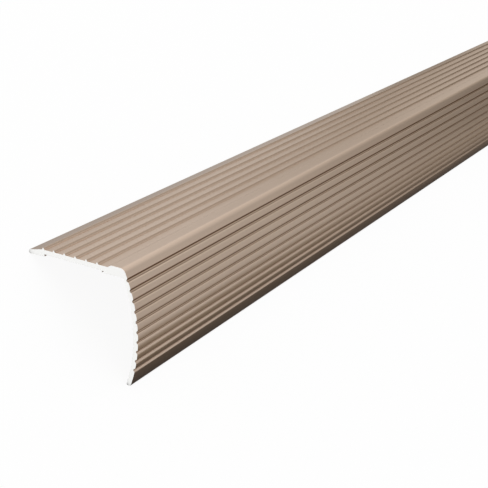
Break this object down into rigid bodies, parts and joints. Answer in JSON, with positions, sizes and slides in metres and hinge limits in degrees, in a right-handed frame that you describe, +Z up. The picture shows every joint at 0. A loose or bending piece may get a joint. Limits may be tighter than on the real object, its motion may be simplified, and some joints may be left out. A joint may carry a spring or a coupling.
{
  "type": "metal stair nosing",
  "caption": "Straight aluminium angle that caps a stair edge: ribbed tread leg, rounded smooth nose and a bowed, fluted front leg.",
  "frame": {"origin": "middle of the length, on the floor between the toe and the lip that the strip rests on", "axes": "+X along the strip, +Y towards the toe of the tread leg, +Z up; the fluted front leg faces -Y"},
  "size_m": [0.9, 0.0566, 0.03],
  "materials": {
    "anodised_aluminium": "satin light bronze anodising with fine lines along the length, bare metal on the sawn ends"
  },
  "bodies": {
    "root": {"stair_nosing": "anodised_aluminium"}
  },
  "joints": []
}
